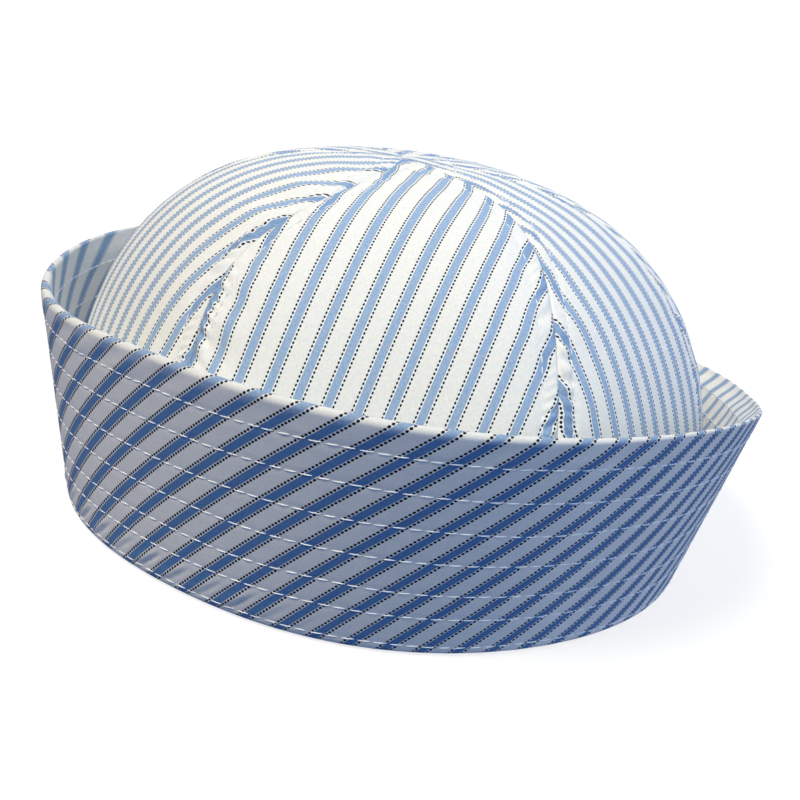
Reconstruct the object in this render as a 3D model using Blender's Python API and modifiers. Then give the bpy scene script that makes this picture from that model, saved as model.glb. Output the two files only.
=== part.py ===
"""Sailor cap: a six-panel cloth crown inside a wide, stiff, turned-up brim.

Units are metres, +Z is up and the front of the cap faces -Y. The origin is on
the surface that the cap rests on, under the middle of the cap. The shapes are
worked out about the cap's own upright axis and then moved over the origin.
Angles run round that axis from +X, anticlockwise seen from above, so the
front is at 270 degrees.
"""
from collections import namedtuple
import math

import bmesh
import bpy
import numpy as np

# ---------------------------------------------------------------- dimensions
AXIS_PLACE = (0.0007, 0.0050, 0.0)     # the cap's own axis, seen from the origin
BASE_HALF_WIDTH = 0.0950      # outside of the bottom fold, side to side
BASE_HALF_LENGTH = 0.0988     # outside of the bottom fold, front to back
FOLD_RADIUS = 0.0035          # outside radius of the fold under the brim
REST_WIDTH = 0.0033           # flat turned-in edge that the cap rests on

BRIM_WIDTH = 0.0595           # from the fold up to the rim, along the slope
BRIM_THICKNESS = 0.0026       # stitched plies
RIM_THICKNESS = 0.0038        # the unstitched top edge puffs out
RIM_PUFF_SHARE = 0.86         # share of the brim's width below the puff
EDGE_ROUNDING = 0.0012        # bevel on the edges of the rim and the turned-in edge
BRIM_FLARE = 14.7             # degrees outward from upright

CROWN_HALF_WIDTH = 0.0946
CROWN_HALF_LENGTH = 0.0984
CROWN_HEIGHT = 0.1072
CROWN_SQUARENESS_ACROSS = 2.62         # the crown's outline from the side is a
CROWN_SQUARENESS_UP = 2.71             # super-ellipse with these two exponents
CROWN_TIP_SHIFT = (-0.0063, -0.0008)
CLOTH_THICKNESS = 0.0016
TUCK_INSET = 0.0038           # crown wall inside the bottom fold
TUCK_HEIGHT = 0.0480          # where the crown has its full width again

PIECE_GAP = 0.0003            # clearance between neighbouring pieces
SEAM_VALLEY_DEPTH = 0.0010
SEAM_VALLEY_REACH = 0.0045
SEAM_VALLEY_FADE = 0.0180     # the valleys flatten out this close to the top point
TIP_RADIUS = 0.0006           # the panels' tips stop this far from the top point

BRIM_STATIONS = 96            # steps round the brim
BRIM_SLOPE_SHARES = (0.0, 0.17, 0.34, 0.51, 0.68, RIM_PUFF_SHARE, 0.93, 1.0)
FOLD_STEPS = 3
ROUNDING_SEGMENTS = 2
SHARP_ANGLE = 60.0            # degrees; only sharper edges are rounded
PANEL_ROWS = 18
LENGTH_STEPS = 400            # steps used to measure the cloth from tip to foot
PANEL_COLUMN_SHARES = (0.0, 0.05, 0.12, 0.25, 0.42, 0.58, 0.75, 0.88, 0.95, 1.0)

FRONT = math.radians(270.0)

# A wave is something that varies round the cap: how many times it repeats in
# one turn, and the sizes of its cosine and sine parts.
Wave = namedtuple("Wave", "repeats cosine sine")
BASE_WAVES = (Wave(3, -0.018, 0.007), Wave(6, -0.005, 0.0))        # share of the radius
CROWN_WAVES = (Wave(3, -0.007, -0.008), Wave(6, 0.027, 0.0))       # share of the radius
BRIM_WIDTH_WAVES = (Wave(1, -0.0060, -0.0056), Wave(2, -0.0036, -0.0047))     # metres
FLARE_WAVES = (Wave(1, 4.9, -0.3), Wave(2, -0.6, 1.1), Wave(3, -2.2, 2.6))    # degrees

# A seam runs from the base to the top. Its columns, in degrees round the cap:
# where an even layout would put it, how far its foot is off that, how far it
# swings by the time it reaches the top, and how much it bows half way up.
Seam = namedtuple("Seam", "azimuth foot swing bow")
SEAMS = (
    Seam(-120.0, 4.0, 24.0, -18.0),
    Seam(-60.0, -2.0, 15.0, -2.0),
    Seam(0.0, -1.0, 0.0, 0.0),
    Seam(60.0, 0.0, 0.0, 0.0),
    Seam(120.0, 0.0, 0.0, 0.0),
    Seam(180.0, 0.0, 0.0, 0.0),
)
PANEL_NAMES = (                # each panel lies between its seam and the next
    "crown_panel_front",
    "crown_panel_front_right",
    "crown_panel_back_right",
    "crown_panel_back",
    "crown_panel_back_left",
    "crown_panel_front_left",
)

# Finishes: colour, roughness, metallic.
Finish = namedtuple("Finish", "colour roughness metallic")
CROWN_CLOTH = Finish((0.70, 0.74, 0.82, 1.0), 0.85, 0.0)
BRIM_CLOTH = Finish((0.52, 0.58, 0.72, 1.0), 0.80, 0.0)


# ------------------------------------------------------------------- helpers
def wave_sum(waves, angle):
    """Add up the waves at an angle round the cap, in radians."""
    return sum(w.cosine * math.cos(w.repeats * angle) + w.sine * math.sin(w.repeats * angle)
               for w in waves)


def smooth_step(value, low, high):
    """Ease from 0 at low to 1 at high."""
    share = min(max((value - low) / (high - low), 0.0), 1.0)
    return share * share * (3.0 - 2.0 * share)


def mix(a, b, share):
    return a + (b - a) * share


def clear_scene():
    for item in list(bpy.data.objects):
        bpy.data.objects.remove(item, do_unlink=True)


def make_collection(name):
    collection = bpy.data.collections.new(name)
    bpy.context.scene.collection.children.link(collection)
    return collection


def make_material(name, finish):
    material = bpy.data.materials.new(name)
    material.use_nodes = True
    shader = material.node_tree.nodes["Principled BSDF"]
    shader.inputs["Base Color"].default_value = finish.colour
    shader.inputs["Roughness"].default_value = finish.roughness
    shader.inputs["Metallic"].default_value = finish.metallic
    return material


def add_piece(name, form, material, collection):
    """Turn a bmesh into a smooth-shaded object."""
    bmesh.ops.translate(form, verts=form.verts, vec=AXIS_PLACE)
    mesh = bpy.data.meshes.new(name)
    form.to_mesh(mesh)
    form.free()
    mesh.materials.append(material)
    mesh.shade_smooth()
    piece = bpy.data.objects.new(name, mesh)
    collection.objects.link(piece)
    return piece


def add_wall(piece, thickness):
    """Give an open surface its thickness on the inner side."""
    wall = piece.modifiers.new("Wall", 'SOLIDIFY')
    wall.thickness = thickness
    wall.offset = -1.0
    return wall


# -------------------------------------------------------------------- shapes
def base_point(angle):
    """Outside of the bottom fold, seen from above."""
    share = 1.0 + wave_sum(BASE_WAVES, angle)
    return np.array([BASE_HALF_WIDTH * share * math.cos(angle),
                     BASE_HALF_LENGTH * share * math.sin(angle)])


def base_outward(angle):
    """Level direction that points straight out of the base there."""
    small = 1e-4
    along = base_point(angle + small) - base_point(angle - small)
    return np.array([along[1], -along[0]]) / np.hypot(*along)


def brim_section(angle):
    """Outer face of the brim at one station: (outward, up) from the base line.

    It runs from the turned-in edge, round the bottom fold and up the slope.
    """
    flare = math.radians(BRIM_FLARE + wave_sum(FLARE_WAVES, angle))
    width = BRIM_WIDTH + wave_sum(BRIM_WIDTH_WAVES, angle)
    points = [(-FOLD_RADIUS - REST_WIDTH, 0.0)]
    for step in range(FOLD_STEPS):
        turn = mix(-math.pi / 2, -flare, step / FOLD_STEPS)
        points.append((FOLD_RADIUS * (math.cos(turn) - 1.0),
                       FOLD_RADIUS * (math.sin(turn) + 1.0)))
    for share in BRIM_SLOPE_SHARES:
        points.append((FOLD_RADIUS * (math.cos(flare) - 1.0) + share * width * math.sin(flare),
                       FOLD_RADIUS * (1.0 - math.sin(flare)) + share * width * math.cos(flare)))
    return points


def seam_angle(index, height_share):
    """Where a seam is round the cap; height_share is 0 at its foot, 1 at the top."""
    turns, place = divmod(index, len(SEAMS))
    seam = SEAMS[place]
    degrees = seam.azimuth + 360.0 * turns + seam.foot + seam.swing * height_share
    degrees += seam.bow * math.sin(math.pi * height_share)
    return math.radians(degrees)


def crown_point(angle, fall):
    """Crown without its valleys; fall is 0 at the top and 1 at the foot."""
    spread = math.sin(fall * math.pi / 2) ** (2.0 / CROWN_SQUARENESS_ACROSS)
    height = CROWN_HEIGHT * max(math.cos(fall * math.pi / 2), 0.0) ** (2.0 / CROWN_SQUARENESS_UP)
    share = spread * (1.0 + wave_sum(CROWN_WAVES, angle))
    dome = np.array([CROWN_HALF_WIDTH * share * math.cos(angle),
                     CROWN_HALF_LENGTH * share * math.sin(angle)])
    dome += np.array(CROWN_TIP_SHIFT) * (1.0 - spread)
    tucked = base_point(angle) - TUCK_INSET * base_outward(angle)
    plan = mix(tucked, dome, smooth_step(height, 0.0, TUCK_HEIGHT))
    return np.array([plan[0], plan[1], height])


def fall_at_height(height):
    """The fall at which the crown has this height."""
    return math.acos((height / CROWN_HEIGHT) ** (CROWN_SQUARENESS_UP / 2.0)) * 2.0 / math.pi


def fall_at_spread(spread):
    """The fall at which the crown has this share of its full radius."""
    return math.asin(spread ** (CROWN_SQUARENESS_ACROSS / 2.0)) * 2.0 / math.pi


def panel_falls():
    """Falls of the panels' rows, spaced evenly along the cloth from tip to foot."""
    tip = fall_at_spread(TIP_RADIUS / CROWN_HALF_WIDTH)
    foot = fall_at_height(BRIM_THICKNESS + PIECE_GAP)
    fine = np.linspace(tip, foot, LENGTH_STEPS)
    points = np.array([crown_point(FRONT, fall) for fall in fine])
    lengths = np.concatenate([[0.0], np.cumsum(np.linalg.norm(np.diff(points, axis=0), axis=1))])
    return np.interp(np.linspace(0.0, lengths[-1], PANEL_ROWS + 1), lengths, fine)


def panel_point(index, fall, share):
    """A point of a panel; share is 0 at its own seam and 1 at the next one."""
    low = seam_angle(index, 1.0 - fall)
    high = seam_angle(index + 1, 1.0 - fall)
    centre = np.append(CROWN_TIP_SHIFT, 0.0)
    reach = math.hypot(*(crown_point(mix(low, high, 0.5), fall) - centre)[:2])
    half_gap = 0.5 * PIECE_GAP / reach
    angle = mix(low + half_gap, high - half_gap, share)
    point = crown_point(angle, fall)
    distance = min(share, 1.0 - share) * (high - low) * reach
    depth = SEAM_VALLEY_DEPTH * math.exp(-(distance / SEAM_VALLEY_REACH) ** 2)
    depth *= smooth_step(reach, 0.0, SEAM_VALLEY_FADE)
    small = 1e-3
    across = crown_point(angle + small, fall) - crown_point(angle - small, fall)
    down = crown_point(angle, min(fall + small, 1.0)) - crown_point(angle, fall - small * fall)
    normal = np.cross(down, across)
    return point - depth * normal / np.linalg.norm(normal)


# -------------------------------------------------------------------- pieces
def build_brim(collection):
    """One stitched band: turned-in edge, bottom fold, slope and puffed rim."""
    first_section = brim_section(0.0)
    puffed_rows = (len(first_section) - 1, len(first_section) - 2)
    form = bmesh.new()
    first = []
    for outward, up in first_section:
        first.append(form.verts.new((BASE_HALF_WIDTH + outward, 0.0, up)))
    edges = [form.edges.new(pair) for pair in zip(first, first[1:])]
    bmesh.ops.spin(form, geom=first + edges, cent=(0, 0, 0), axis=(0, 0, 1),
                   angle=math.tau, steps=BRIM_STATIONS, use_merge=True)
    wall_shares = []
    for vert in form.verts:
        angle = math.atan2(vert.co.y, vert.co.x)
        flat = (math.hypot(vert.co.x, vert.co.y) - BASE_HALF_WIDTH, vert.co.z)
        row = min(range(len(first_section)), key=lambda r: math.dist(flat, first_section[r]))
        outward, up = brim_section(angle)[row]
        plan = base_point(angle) + outward * base_outward(angle)
        vert.co = (plan[0], plan[1], up)
        wall_shares.append(1.0 if row in puffed_rows else BRIM_THICKNESS / RIM_THICKNESS)
    form.normal_update()
    if sum(face.normal.dot(face.calc_center_median()) for face in form.faces) < 0.0:
        bmesh.ops.reverse_faces(form, faces=form.faces)
    brim = add_piece("brim", form, make_material("brim_cloth", BRIM_CLOTH), collection)
    wall = add_wall(brim, RIM_THICKNESS)
    wall.use_even_offset = True
    puff = brim.vertex_groups.new(name="puff")
    for number, share in enumerate(wall_shares):
        puff.add([number], share, 'REPLACE')
    wall.vertex_group = puff.name
    rounding = brim.modifiers.new("Rounding", 'BEVEL')
    rounding.width = EDGE_ROUNDING
    rounding.segments = ROUNDING_SEGMENTS
    rounding.limit_method = 'ANGLE'
    rounding.angle_limit = math.radians(SHARP_ANGLE)
    return brim


def build_panel(index, collection, material):
    """One gore of the crown: a grid bent onto the crown between two seams."""
    columns = len(PANEL_COLUMN_SHARES)
    form = bmesh.new()
    bmesh.ops.create_grid(form, x_segments=columns - 1, y_segments=PANEL_ROWS, size=1.0)
    falls = panel_falls()
    tip = []
    for vert in form.verts:
        column = round((vert.co.x + 1.0) * 0.5 * (columns - 1))
        row = round((1.0 - vert.co.y) * 0.5 * PANEL_ROWS)
        if row == 0:
            tip.append(vert)
        vert.co = panel_point(index, falls[row], PANEL_COLUMN_SHARES[column])
    bmesh.ops.pointmerge(form, verts=tip, merge_co=panel_point(index, falls[0], 0.5))
    form.normal_update()
    if sum(face.normal.z * face.calc_area() for face in form.faces) < 0.0:
        bmesh.ops.reverse_faces(form, faces=form.faces)
    panel = add_piece(PANEL_NAMES[index], form, material, collection)
    add_wall(panel, CLOTH_THICKNESS)
    return panel


def main():
    clear_scene()
    cap = make_collection("sailor_cap")
    build_brim(cap)
    crown_cloth = make_material("crown_cloth", CROWN_CLOTH)
    for index in range(len(PANEL_NAMES)):
        build_panel(index, cap, crown_cloth)


main()
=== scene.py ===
"""Looks for the sailor cap: striped crown gores, a stitched turned-up brim and its threads."""

from collections import namedtuple
import math

import bmesh
import bpy
from mathutils import Matrix, Vector
import numpy as np


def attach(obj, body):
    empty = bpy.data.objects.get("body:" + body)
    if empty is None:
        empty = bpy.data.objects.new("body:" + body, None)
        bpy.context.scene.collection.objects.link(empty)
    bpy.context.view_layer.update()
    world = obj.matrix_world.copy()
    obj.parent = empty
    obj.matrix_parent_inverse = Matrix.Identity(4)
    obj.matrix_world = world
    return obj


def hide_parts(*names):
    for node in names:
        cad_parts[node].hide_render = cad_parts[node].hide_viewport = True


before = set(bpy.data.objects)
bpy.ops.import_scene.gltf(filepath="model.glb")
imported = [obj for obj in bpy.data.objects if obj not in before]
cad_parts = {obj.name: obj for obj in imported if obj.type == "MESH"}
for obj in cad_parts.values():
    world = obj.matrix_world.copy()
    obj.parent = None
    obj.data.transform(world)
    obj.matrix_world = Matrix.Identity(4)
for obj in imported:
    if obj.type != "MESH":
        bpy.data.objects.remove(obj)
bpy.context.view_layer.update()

# ---- cap's own sizes
AXIS_PLACE = np.array([0.0007, 0.0050, 0.0])
BASE_HALF_WIDTH = 0.0950
BASE_HALF_LENGTH = 0.0988
FOLD_RADIUS = 0.0035
REST_WIDTH = 0.0033
BRIM_WIDTH = 0.0595
BRIM_THICKNESS = 0.0026
RIM_RADIUS = 0.00145        # half the rounded rim's thickness
SHARP_RIM_RADIUS = 0.00055  # and where it is pressed sharper, round the right side
SHARP_RIM_AZIMUTH = 50.0    # the middle of that stretch, in degrees
SHARP_RIM_REACH = 140.0     # and how far it runs to either side
SHARP_RIM_FADE = (0.30, 0.70)  # the nearness at which it starts and is full
RIM_THICKENING = 0.0060     # over which the rim turns into the stitched wall
RIM_DROP = 0.0030           # the rounding starts this far below the brim's full width
BRIM_FLARE = 14.7           # how far the brim leans out, in degrees
RIGHT_FLARE = 1.1           # and this much more, in degrees, at the right
RIGHT_FLARE_REACH = 28.6    # this far either side of the right
CROWN_HALF_WIDTH = 0.0946
CROWN_HALF_LENGTH = 0.0984
CROWN_HEIGHT = 0.1072
CROWN_SQUARENESS_ACROSS = 2.62
CROWN_SQUARENESS_UP = 2.71
CROWN_TIP_SHIFT = np.array([-0.0063, -0.0008])
CLOTH_THICKNESS = 0.0010
TUCK_INSET = 0.0038         # how far inside the base line the crown's foot is tucked
TUCK_HEIGHT = 0.0480        # and the height from which it is drawn in
CROWN_FOOT = 0.0029         # the crown's lower edge stands on the brim's turned-in edge
TIP_RADIUS = 0.000001       # the gores' upper rows shrink to this
TIP_WELD = 0.00001          # points closer than this are one
BRIM_WELD = 0.00002         # and the same at the brim's join

# Waves round the cap, each a number of repeats and its cosine and sine parts.
Wave = namedtuple("Wave", "repeats cosine sine")
BASE_WAVES = (Wave(3, -0.018, 0.007), Wave(6, -0.005, 0.0))
CROWN_WAVES = (Wave(3, -0.007, -0.008), Wave(6, 0.027, 0.0))
BRIM_WIDTH_WAVES = (Wave(1, -0.0060, -0.0056), Wave(2, -0.0036, -0.0047))
FLARE_WAVES = (Wave(1, 4.9, -0.3), Wave(2, -0.6, 1.1), Wave(3, -2.2, 2.6))
RIM_DROP_WAVES = (Wave(4, 0.00017, 0.00030),)

# Where the brim stands a little higher than its waves: the middle of the rise
# and its reach to either side in degrees, and its height.
Rise = namedtuple("Rise", "azimuth reach height")
RISES = (Rise(-32.0, 42.0, 0.0019), Rise(20.0, 23.0, 0.0022), Rise(152.0, 26.0, 0.0013))

# Each crown seam: its even place round the cap, then how many degrees it is
# off at the foot, swings over its height and bows once, twice and three times
# on the way, and how loosely the cloth puckers beside it.
Seam = namedtuple("Seam", "azimuth foot swing bow skew third looseness")
SEAMS = (
    Seam(-120.0, 4.2, 24.4, -18.6, 1.5, 0.7, 1.5),
    Seam(-60.0, -5.0, 13.7, 3.1, -1.5, 1.2, 1.4),
    Seam(0.0, -7.0, 8.0, -4.0, -1.5, 0.0, 0.55),
    Seam(60.0, 0, 0, 0, 0, 0, 0.3),
    Seam(120.0, 0, 0, 0, 0, 0, 0.3),
    Seam(180.0, 0, 0, 0, 0, 0, 0.25),
)

# How each gore's cloth lies: its middle round the cap and the slant of its
# stripes in degrees, then the drift of the stripes, in stripes, from a
# straight lay: at the middle, per centimetre across and up, and their products.
Gore = namedtuple("Gore", "name middle slant drift across up across_up up_up"
                          " across2 across2_up across3")
GORES = (
    Gore("front", -90.0, -15.2, 0.085, 0.079, -0.0487, -0.0091, 0.0027, 0.0016, 0.0005, -0.0003),
    Gore("front_right", -30.1, -2.5, 0.275, -0.009, 0.303, 0.0136, -0.0088, 0.0417, -0.00975,
         -0.00564),
    Gore("back_right", 30.0, 4.0, 0.2, 0, 0, 0, 0, 0, 0, 0),
    Gore("back", 90.0, -6.0, 0.6, 0, 0, 0, 0, 0, 0, 0),
    Gore("back_left", 150.0, 3.0, 0.1, 0, 0, 0, 0, 0, 0, 0),
    Gore("front_left", 210.2, -5.0, 0.192, 0.147, 0.212, -0.0079, -0.0159, -0.0124, -0.00165,
         -0.0075),
)

# How far the stripes beside the two front seams are drawn aside, in stripes,
# by height up the cloth in centimetres: in the front gore by its left and its
# right seam, in the right gore and in the left gore.
SeamDraw = namedtuple("SeamDraw", "height front_by_left front_by_right right left")
SEAM_DRAWS = (
    SeamDraw(4.0, 0, 0, 0, 0),
    SeamDraw(7.0, -0.09, -0.35, 0.16, 0.36),
    SeamDraw(9.0, 0.13, -0.23, 0.40, 0.04),
    SeamDraw(11.0, -0.10, -0.46, -0.60, -0.04),
    SeamDraw(13.0, -0.48, -0.11, 0.00, -1.00),
    SeamDraw(15.0, 0, 0, 0, 0),
)
DRAWS_AT_LOW_SIDE = {"front": "front_by_left", "front_right": "right"}
DRAWS_AT_HIGH_SIDE = {"front": "front_by_right", "front_left": "left"}
SEAM_DRAW_REACH = 0.0060
SEAM_WAVER = 0.08           # small unevenness of the stripes beside a seam, in stripes
SEAM_WAVER_SPACING = 0.0105

CROWN_PITCH = 0.00748       # from one stripe to the next
BRIM_PITCH = 0.00720
BRIM_LAY_RADIUS = 0.55      # the brim's strip is cut as part of a ring this big
BRIM_STRIPE_TURN = 137.5    # degrees from the strip's length to across its stripes
BRIM_DRIFT_REACH = 13.0     # centimetres either side of the front where the lay was seen
BRIM_DRIFT_FADE = 3.0       # and over which the drift levels off beyond it
BRIM_DRIFT_HEIGHT = 6.0     # the same up the brim
BRIM_RIPPLE = -0.059        # the brim's stripes waver by this many stripes
BRIM_RIPPLE_LENGTH = 9.0    # in centimetres
# The drift of the brim's stripes from a straight lay, in stripes: for each
# power of the centimetres round the brim and up it, the drift that it brings.
Drift = namedtuple("Drift", "round up stripes")
BRIM_DRIFTS = (
    Drift(0, 0, -0.191), Drift(1, 0, -0.0580), Drift(0, 1, 0.0355),
    Drift(1, 1, 0.01237), Drift(2, 0, 0.00277), Drift(0, 2, 0.0017),
    Drift(3, 0, 0.00044), Drift(2, 1, -0.00125),
)
BRIM_WEAVE_FRONT = 0.93     # how closely the dotted yarns lie at the front
BRIM_WEAVE_CHANGE = 0.021   # and how much that grows with each centimetre to the right

# Rows of stitching on the brim, as shares of its width up from the fold.
STITCH_ROW_SHARES = (0.001, 0.143, 0.259, 0.405, 0.552, 0.702, 0.848)
ROW_LIFT = 0.0006           # the rows run this much higher in the brim's right half
ROW_LIFT_START = np.radians([250.0, 272.0])
ROW_LIFT_END = np.radians([390.0, 430.0])
ROW_WANDER = 0.0002         # and wander up and down this much
ROW_WANDER_SPACING = 0.060
BRIM_STITCH_PITCH = 0.00395
BRIM_STITCH_LENGTH = 0.0035
SEAM_STITCH_PITCH = 0.0030
SEAM_STITCH_LENGTH = 0.0022
TOPSTITCH_SIDE = 0.0044     # topstitching either side of each crown seam
FIRST_STITCH = 0.15         # where a row's first stitch starts, in stitches
STITCH_WANDER = 0.00016     # how unevenly the stitches follow each other
STITCH_WANDER_TURN = 2.399  # in radians from one to the next
BRIM_STITCH_LEAN = 0.05     # how far a stitch leans across its row, in radians
SEAM_STITCH_LEAN = 0.03
TIP_ROWS_UNSEWN = 12        # the topstitching stops this many rows below the tip
THREAD_RADIUS = 0.00017
THREAD_RISE = 0.60          # how far a stitch's middle stands off the cloth, in thread radii
THREAD_DIP = 0.90           # how far its ends go down again
FOLD_PLACE = 0.13           # the drawn folds' crests lie here between two stripes
FOLD_LEAN = 0.16            # and this much further at the brim's lower edge
FOLD_REACH = 0.0080         # how far up from the edge the folds run
FOLD_SHARPNESS = 3.0
FOLD_FLOOR = 0.40           # this much of a fold's height lies below the cloth
FOLD_LEFT = np.radians([194.0, 208.0])  # the folds start between these angles
FOLD_RIGHT = np.radians([250.0, 272.0])  # and end between these
FOLD_ELSEWHERE = 0.06       # share of their height left in other places
FOLD_LOW = (-0.0010, 0.0024)  # they rise over this stretch up from the edge
FOLD_HIGH = (0.0052, 0.0086)  # and fall over this one
FOLD_SKEW = 0.8             # their upper left sides slope this much more gently
FOLD_HEIGHT = 0.00085
SECOND_FOLD = 0.55          # a smaller fold between two of these, as a share of their height
SECOND_FOLD_TURN = 2.6      # and how far on it lies, in radians of one stripe's turn

# Low forms of the cloth: how high or deep each is, where its middle lies from a
# seam or a row of stitches, and how far it reaches, in metres.
Form = namedtuple("Form", "height middle reach")
SEAM_HOLLOW = Form(-0.00030, 0.0, 0.0060)
SEAM_GROOVE = Form(-0.00040, 0.0, 0.0005)
SEAM_EDGE = Form(0.00018, 0.0022, 0.0014)  # the pressed-open edges under the cloth
TOPSTITCH_DIP = Form(-0.00022, TOPSTITCH_SIDE, 0.0006)
SEAM_PUCKER = Form(0.00052, 0.0024, 0.0021)
SEAM_DRAPE = Form(0.00028, 0.0070, 0.0060)
SEAM_PUCKER_SPACING = 0.0076
SEAM_DRAPE_SPACING = 0.0190
PUCKER_EASE = (0.070, 0.125)  # the puckers get lower over this stretch up the cloth
PUCKER_EASED = 0.75         # by this share
SEAM_CLEAR = 0.0015         # no pucker is closer to the seam than this
TIP_CALM = (0.0030, 0.0220)  # all of these grow over this stretch out from the tip
ROW_DIP = Form(-0.00013, 0.0, 0.0009)
ROW_TUG = Form(0.00005, 0.0, 0.0030)
ROW_TUG_SPACING = 0.0088
RIM_PUFF = 0.00024          # puffs between the rim and the top row
RIM_PUFF_SPACING = 0.0170
RIM_PUFF_START = (-0.0010, 0.0030)
RIM_PUFF_END = (0.0050, 0.0080)

SEAM_DEPTH = 0.35           # how much of the brim's deeper blue shows over the seams: partly the double layer of cloth, partly painted shade
RIM_DEPTH = 0.14            # and on the rim and the brim's inside, where the pale look is painted light as on the lit rim
DEEP_RIM_AZIMUTH = 10.0     # the middle of the stretch where the rim lies in shade and its blue stays deep, as painted shade, up to the rim
DEEP_RIM_REACH = 110.0      # and how far it runs to either side
DEEP_RIM_FADE = (0.20, 0.60)  # the nearness at which it starts and is full
RIM_PALE_START = 0.945      # elsewhere the blue gets paler, as painted light on the lit rim, from this share of the outside on
RIM_PALE_START_DEEP = 0.990  # and there from this one on
SEAM_DEEP_EDGE = (0.0038, 0.0050)  # the deeper blue of the double layer and painted shade ends between these distances from a seam

BRIM_STATIONS = 520
DENSE_SIDE = math.radians(240.0)  # the stations lie closest here
DENSE_SHIFT = math.radians(22.9)
GORE_COLUMNS = 84
GORE_ROWS = 216
GORE_EDGE_CROWDING = 0.72   # how much closer the columns lie beside the seams
LENGTH_CHORDS_ACROSS = 8    # lengths along the cloth are measured in so many chords
LENGTH_CHORDS_UP = 10
FRONT = math.radians(270.0)


# ---- helpers
def wave_sum(waves, angle):
    return sum(w.cosine * np.cos(w.repeats * angle) + w.sine * np.sin(w.repeats * angle)
               for w in waves)


def smooth_step(value, low, high):
    share = np.clip((value - low) / (high - low), 0.0, 1.0)
    return share * share * (3.0 - 2.0 * share)


def mix(a, b, share):
    return a + (b - a) * share


def between(value, start, end):
    """One between two stretches, easing in over the first and out over the second."""
    return smooth_step(value, *start) * (1.0 - smooth_step(value, *end))


def bell(value, centre, reach):
    return np.exp(-((value - centre) / reach) ** 2)


def form_height(form, distance):
    return form.height * bell(distance, form.middle, form.reach)


def lengths_along(places):
    """Length from the first of some places to each of them, in metres."""
    steps = np.linalg.norm(np.diff(places, axis=0), axis=-1)
    return np.concatenate([[0.0], np.cumsum(steps)])


def uneven(along, spacing, seed):
    """A wandering ripple between -1 and 1, about one crest per spacing."""
    turn = 2.0 * math.pi * along / spacing
    wander = 1.9 * np.sin(turn * 0.231 + seed * 2.3) + 1.3 * np.sin(turn * 0.107 + seed * 5.1)
    swell = 0.62 + 0.38 * np.sin(turn * 0.173 + seed * 3.7)
    return swell * np.sin(turn + wander + seed)


def base_point(angle):
    share = 1.0 + wave_sum(BASE_WAVES, angle)
    return np.stack([BASE_HALF_WIDTH * share * np.cos(angle),
                     BASE_HALF_LENGTH * share * np.sin(angle)], -1)


def base_outward(angle):
    small = 1e-4
    along = base_point(angle + small) - base_point(angle - small)
    outward = np.stack([along[..., 1], -along[..., 0]], -1)
    return outward / np.linalg.norm(outward, axis=-1, keepdims=True)


def nearness(angle, azimuth, reach):
    """One at an azimuth, fading to nothing beyond a reach to either side, both in degrees."""
    past = np.mod(angle - math.radians(azimuth) + math.pi, 2.0 * math.pi) - math.pi
    return bell(past, 0.0, math.radians(reach))


def brim_flare(angle):
    lean = RIGHT_FLARE * nearness(angle, 0.0, RIGHT_FLARE_REACH)
    return np.radians(BRIM_FLARE + wave_sum(FLARE_WAVES, angle) + lean)


def brim_width(angle):
    return BRIM_WIDTH + wave_sum(BRIM_WIDTH_WAVES, angle)


def rim_start(angle):
    """How far up the slope the rounded rim starts."""
    rise = sum(r.height * nearness(angle, r.azimuth, r.reach) for r in RISES)
    return brim_width(angle) - RIM_DROP - wave_sum(RIM_DROP_WAVES, angle) + rise


def rim_sharpness(angle):
    return smooth_step(nearness(angle, SHARP_RIM_AZIMUTH, SHARP_RIM_REACH), *SHARP_RIM_FADE)


def rim_radius(angle):
    return mix(RIM_RADIUS, SHARP_RIM_RADIUS, rim_sharpness(angle))


def raise_section(angle, outward, up):
    """Put a point of the brim's section, given from the base line, round the cap."""
    plan = base_point(angle) + outward[..., None] * base_outward(angle)
    return np.concatenate([plan, up[..., None]], -1) + AXIS_PLACE


def lay_length(angle):
    """Length of the base line from the front to an angle, in metres."""
    fine = np.radians(np.linspace(90.0, 450.0, 3601))
    length = lengths_along(base_point(fine))
    return np.interp(angle, fine, length - np.interp(FRONT, fine, length))


def seam_angle(index, height_share):
    """Where a seam runs at a share of the crown's height; seams count on past a full turn."""
    turns, place = divmod(index, len(SEAMS))
    seam = SEAMS[place]
    degrees = seam.azimuth + 360.0 * turns + seam.foot + seam.swing * height_share
    turn = math.pi * height_share
    bow = (seam.bow * np.sin(turn) + seam.skew * np.sin(2.0 * turn)
           + seam.third * np.sin(3.0 * turn))
    return np.radians(degrees + bow)


def dome_point(angle, fall):
    """The crown as if it kept its shape down to the base."""
    fall = np.clip(fall, 1e-6, 1.0)
    spread = np.sin(fall * math.pi / 2) ** (2.0 / CROWN_SQUARENESS_ACROSS)
    level = np.maximum(np.cos(fall * math.pi / 2), 0.0)
    height = CROWN_HEIGHT * level ** (2.0 / CROWN_SQUARENESS_UP)
    share = spread * (1.0 + wave_sum(CROWN_WAVES, angle))
    shift = 1.0 - spread
    return np.stack([CROWN_HALF_WIDTH * share * np.cos(angle) + CROWN_TIP_SHIFT[0] * shift,
                     CROWN_HALF_LENGTH * share * np.sin(angle) + CROWN_TIP_SHIFT[1] * shift,
                     height + 0.0 * angle], -1)


def crown_point(angle, fall):
    """The crown with its foot tucked inside the brim's fold."""
    dome = dome_point(angle, fall)
    tucked = base_point(angle) - TUCK_INSET * base_outward(angle)
    share = smooth_step(dome[..., 2], 0.0, TUCK_HEIGHT)[..., None]
    plan = mix(tucked, dome[..., :2], share)
    return np.concatenate([plan, dome[..., 2:]], -1)


def chord_length(place, start, end, chords):
    """Length along a line on the cap from start to end, in metres."""
    total = 0.0
    last = place(start)
    for step in range(1, chords + 1):
        point = place(start + (end - start) * (step / chords))
        total = total + np.linalg.norm(point - last, axis=-1)
        last = point
    return total


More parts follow.
